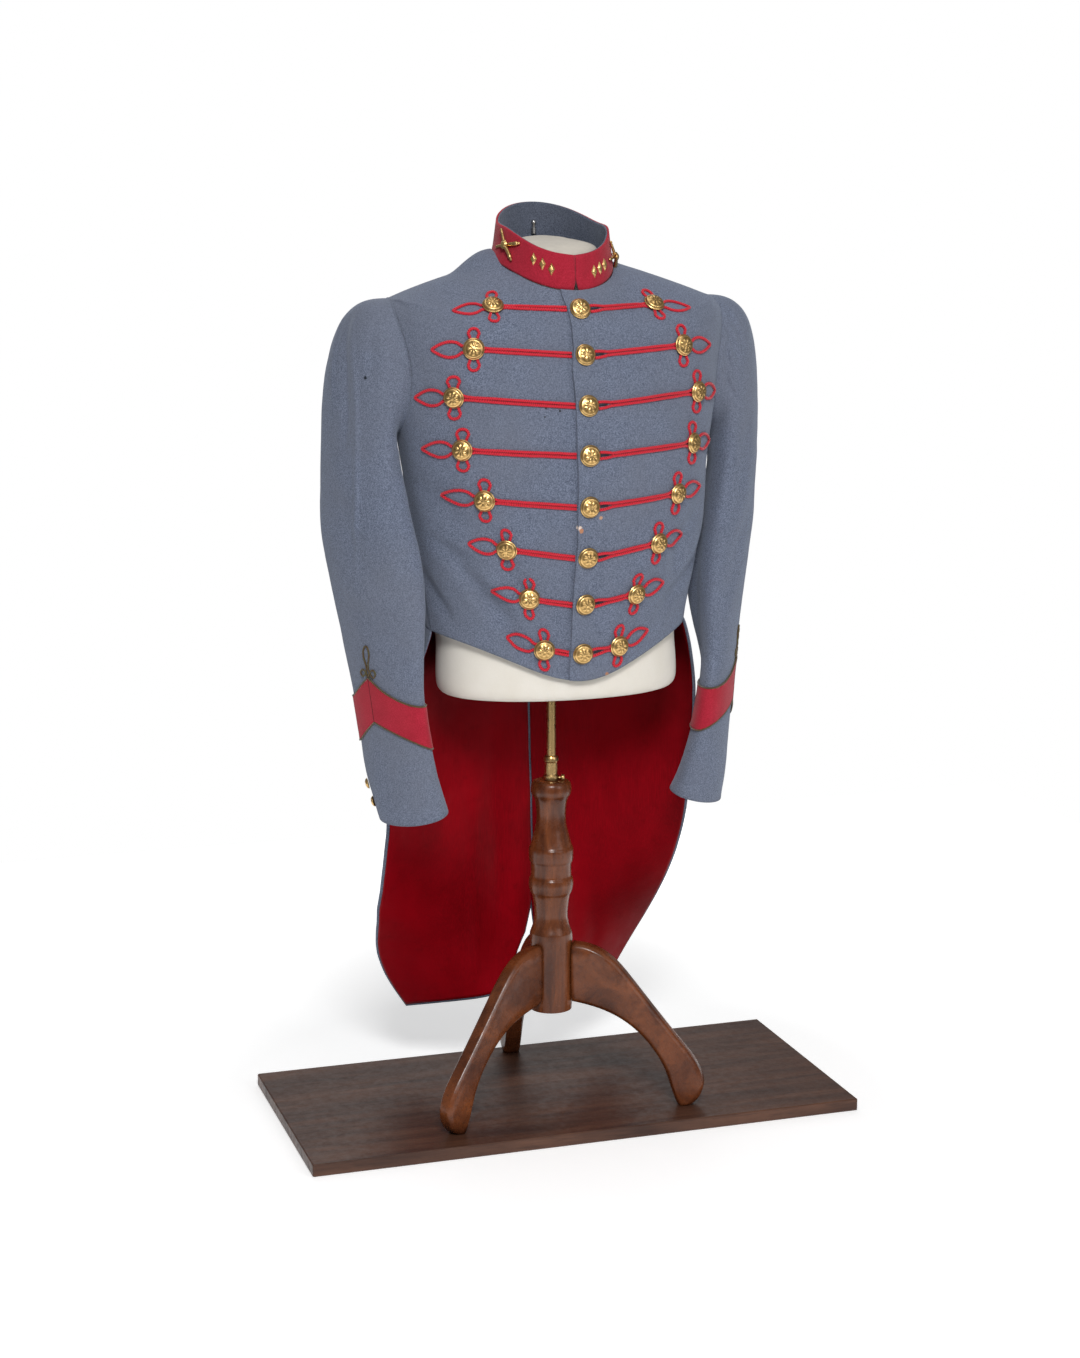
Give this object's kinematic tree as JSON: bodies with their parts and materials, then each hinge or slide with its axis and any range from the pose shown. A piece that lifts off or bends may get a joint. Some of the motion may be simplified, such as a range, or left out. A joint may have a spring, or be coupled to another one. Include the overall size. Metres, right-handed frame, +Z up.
{
  "type": "full-dress coatee on a limbless dress form and wooden stand",
  "caption": "Short-fronted dress coatee with long tails, stand collar, braided button front and chevron cuffs, worn by a limbless form on a turned wooden stand and plank.",
  "frame": {"origin": "middle of the plank's underside, on the surface it stands on", "axes": "+Z up; the coat's front faces -Y; +X is the wearer's left"},
  "size_m": [0.669, 0.3278, 1.0738],
  "materials": {
    "blue_grey_wool": "felted woollen cloth, matt, mottled blue-grey",
    "red_wool": "scarlet facing cloth, matt",
    "red_satin": "crimson satin lining, soft sheen",
    "red_braid": "round scarlet braid",
    "gilt_brass": "aged gilt, satin",
    "old_brass": "old drawn tube, satin",
    "cream_canvas": "cream jersey over a padded form, matt",
    "varnished_wood": "dark varnished, glossy",
    "worn_plank": "dark worn board, satin"
  },
  "bodies": {
    "root": {"front_left": "blue_grey_wool", "sleeve_left": "blue_grey_wool", "tail_left": "blue_grey_wool", "cuff_band_left": "red_wool", "tail_lining_left": "red_satin", "braid_left_1": "red_braid", "button_left_1": "gilt_brass", "braid_left_2": "red_braid", "button_left_2": "gilt_brass", "braid_left_3": "red_braid", "button_left_3": "gilt_brass", "braid_left_4": "red_braid", "button_left_4": "gilt_brass", "braid_left_5": "red_braid", "button_left_5": "gilt_brass", "braid_left_6": "red_braid", "button_left_6": "gilt_brass", "braid_left_7": "red_braid", "button_left_7": "gilt_brass", "braid_left_8": "red_braid", "button_left_8": "gilt_brass", "front_right": "blue_grey_wool", "sleeve_right": "blue_grey_wool", "tail_right": "blue_grey_wool", "cuff_band_right": "red_wool", "tail_lining_right": "red_satin", "braid_right_1": "red_braid", "button_right_1": "gilt_brass", "braid_right_2": "red_braid", "button_right_2": "gilt_brass", "braid_right_3": "red_braid", "button_right_3": "gilt_brass", "braid_right_4": "red_braid", "button_right_4": "gilt_brass", "braid_right_5": "red_braid", "button_right_5": "gilt_brass", "braid_right_6": "red_braid", "button_right_6": "gilt_brass", "braid_right_7": "red_braid", "button_right_7": "gilt_brass", "braid_right_8": "red_braid", "button_right_8": "gilt_brass", "button_centre_1": "gilt_brass", "button_centre_2": "gilt_brass", "button_centre_3": "gilt_brass", "button_centre_4": "gilt_brass", "button_centre_5": "gilt_brass", "button_centre_6": "gilt_brass", "button_centre_7": "gilt_brass", "button_centre_8": "gilt_brass", "back": "blue_grey_wool", "collar": "red_wool", "collar_lining": "blue_grey_wool", "dress_form": "cream_canvas", "brass_tube": "old_brass", "column": "varnished_wood", "leg_left": "varnished_wood", "leg_right": "varnished_wood", "leg_back": "varnished_wood", "plank": "worn_plank"}
  },
  "joints": []
}
